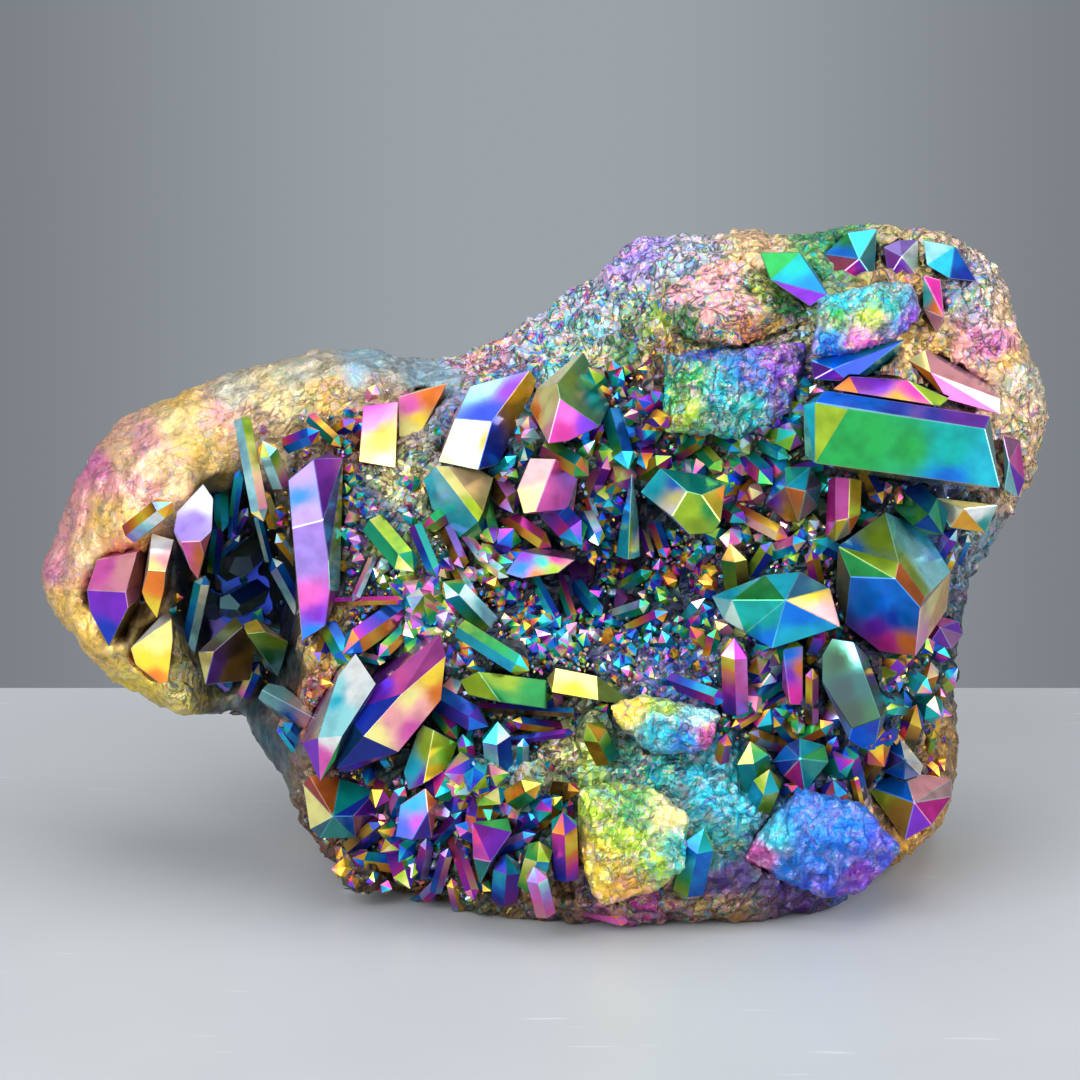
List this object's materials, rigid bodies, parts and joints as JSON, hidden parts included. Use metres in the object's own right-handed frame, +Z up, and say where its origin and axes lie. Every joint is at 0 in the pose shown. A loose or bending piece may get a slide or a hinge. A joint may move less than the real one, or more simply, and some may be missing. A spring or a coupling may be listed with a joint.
{
  "type": "coated amethyst crystal cluster",
  "caption": "Rainbow metal-coated quartz crystal cluster on rough rock, with a hollow side lobe lined with crystals and a flat foot to stand on.",
  "frame": {"origin": "on the resting surface under the middle of the cluster's bounding box", "axes": "+X runs to the cluster's right as seen from its crystal face, -Y is the crystal face, +Z is up"},
  "size_m": [0.1688, 0.1014, 0.1061],
  "materials": {
    "big_blue_crystal": "smooth crystal faces with a rainbow metal coat",
    "blue_magenta_prism": "smooth crystal faces with a rainbow metal coat",
    "blue_rough_slope": "smooth crystal faces with a rainbow metal coat",
    "blue_wedge": "smooth crystal faces with a rainbow metal coat",
    "cream_purple_crystal": "smooth crystal faces with a rainbow metal coat",
    "cyan_boat_crystal": "smooth crystal faces with a rainbow metal coat",
    "cyan_prism": "smooth crystal faces with a rainbow metal coat",
    "dark_green_prism": "smooth crystal faces with a rainbow metal coat",
    "edge_purple_crystal": "smooth crystal faces with a rainbow metal coat",
    "faceted_gem": "smooth crystal faces with a rainbow metal coat",
    "gold_ledge": "smooth crystal faces with a rainbow metal coat",
    "gold_slanted_block": "smooth crystal faces with a rainbow metal coat",
    "gold_white_block": "smooth crystal faces with a rainbow metal coat",
    "green_bar_crystal": "smooth crystal faces with a rainbow metal coat",
    "green_bar_low": "smooth crystal faces with a rainbow metal coat",
    "green_violet_plate": "smooth crystal faces with a rainbow metal coat",
    "host_rock": "rough rock with a rainbow metal coat",
    "lavender_block": "smooth crystal faces with a rainbow metal coat",
    "left_pocket_crystals": "smooth crystal faces with a rainbow metal coat",
    "lobe_grey_blade": "smooth crystal faces with a rainbow metal coat",
    "lobe_lavender_crystal": "smooth crystal faces with a rainbow metal coat",
    "lobe_magenta_point": "smooth crystal faces with a rainbow metal coat",
    "lobe_olive_prism": "smooth crystal faces with a rainbow metal coat",
    "lobe_orange_crystal": "smooth crystal faces with a rainbow metal coat",
    "lobe_pale_prism": "smooth crystal faces with a rainbow metal coat",
    "lobe_yellow_wedge": "smooth crystal faces with a rainbow metal coat",
    "lower_left_point": "smooth crystal faces with a rainbow metal coat",
    "magenta_orange_plate": "smooth crystal faces with a rainbow metal coat",
    "magenta_yellow_block": "smooth crystal faces with a rainbow metal coat",
    "middle_hollow_crystals": "smooth crystal faces with a rainbow metal coat",
    "orange_top_facets": "smooth crystal faces with a rainbow metal coat",
    "pale_blue_crystal": "smooth crystal faces with a rainbow metal coat",
    "pink_block_crystal": "smooth crystal faces with a rainbow metal coat",
    "purple_oval_crystal": "smooth crystal faces with a rainbow metal coat",
    "purple_prism": "smooth crystal faces with a rainbow metal coat",
    "rough_diagonal_prism": "smooth crystal faces with a rainbow metal coat",
    "rough_green_block": "smooth crystal faces with a rainbow metal coat",
    "rough_green_slab": "smooth crystal faces with a rainbow metal coat",
    "rough_lower_block": "smooth crystal faces with a rainbow metal coat",
    "rough_top_block": "smooth crystal faces with a rainbow metal coat",
    "salmon_plate": "smooth crystal faces with a rainbow metal coat",
    "sky_blue_plate": "smooth crystal faces with a rainbow metal coat",
    "tall_purple_crystal": "smooth crystal faces with a rainbow metal coat",
    "teal_arched_wedge": "smooth crystal faces with a rainbow metal coat",
    "teal_magenta_crystal": "smooth crystal faces with a rainbow metal coat",
    "teal_spear": "smooth crystal faces with a rainbow metal coat",
    "top_green_facets": "smooth crystal faces with a rainbow metal coat",
    "violet_tip_crystal": "smooth crystal faces with a rainbow metal coat",
    "wedge_crystal": "smooth crystal faces with a rainbow metal coat",
    "white_band_crystal": "smooth crystal faces with a rainbow metal coat",
    "white_pink_blades": "smooth crystal faces with a rainbow metal coat",
    "yellow_block": "smooth crystal faces with a rainbow metal coat",
    "yellow_green_crystal": "smooth crystal faces with a rainbow metal coat",
    "yellow_terminated_crystal": "smooth crystal faces with a rainbow metal coat"
  },
  "bodies": {
    "root": {"big_blue_crystal": "big_blue_crystal", "blue_magenta_prism": "blue_magenta_prism", "blue_rough_slope": "blue_rough_slope", "blue_wedge": "blue_wedge", "cream_purple_crystal": "cream_purple_crystal", "cyan_boat_crystal": "cyan_boat_crystal", "cyan_prism": "cyan_prism", "dark_green_prism": "dark_green_prism", "edge_purple_crystal": "edge_purple_crystal", "faceted_gem": "faceted_gem", "gold_ledge": "gold_ledge", "gold_slanted_block": "gold_slanted_block", "gold_white_block": "gold_white_block", "green_bar_crystal": "green_bar_crystal", "green_bar_low": "green_bar_low", "green_violet_plate": "green_violet_plate", "host_rock": "host_rock", "lavender_block": "lavender_block", "left_pocket_crystals": "left_pocket_crystals", "lobe_grey_blade": "lobe_grey_blade", "lobe_lavender_crystal": "lobe_lavender_crystal", "lobe_magenta_point": "lobe_magenta_point", "lobe_olive_prism": "lobe_olive_prism", "lobe_orange_crystal": "lobe_orange_crystal", "lobe_pale_prism": "lobe_pale_prism", "lobe_yellow_wedge": "lobe_yellow_wedge", "lower_left_point": "lower_left_point", "magenta_orange_plate": "magenta_orange_plate", "magenta_yellow_block": "magenta_yellow_block", "middle_hollow_crystals": "middle_hollow_crystals", "orange_top_facets": "orange_top_facets", "pale_blue_crystal": "pale_blue_crystal", "pink_block_crystal": "pink_block_crystal", "purple_oval_crystal": "purple_oval_crystal", "purple_prism": "purple_prism", "rough_diagonal_prism": "rough_diagonal_prism", "rough_green_block": "rough_green_block", "rough_green_slab": "rough_green_slab", "rough_lower_block": "rough_lower_block", "rough_top_block": "rough_top_block", "salmon_plate": "salmon_plate", "sky_blue_plate": "sky_blue_plate", "tall_purple_crystal": "tall_purple_crystal", "teal_arched_wedge": "teal_arched_wedge", "teal_magenta_crystal": "teal_magenta_crystal", "teal_spear": "teal_spear", "top_green_facets": "top_green_facets", "violet_tip_crystal": "violet_tip_crystal", "wedge_crystal": "wedge_crystal", "white_band_crystal": "white_band_crystal", "white_pink_blades": "white_pink_blades", "yellow_block": "yellow_block", "yellow_green_crystal": "yellow_green_crystal", "yellow_terminated_crystal": "yellow_terminated_crystal"}
  },
  "joints": []
}
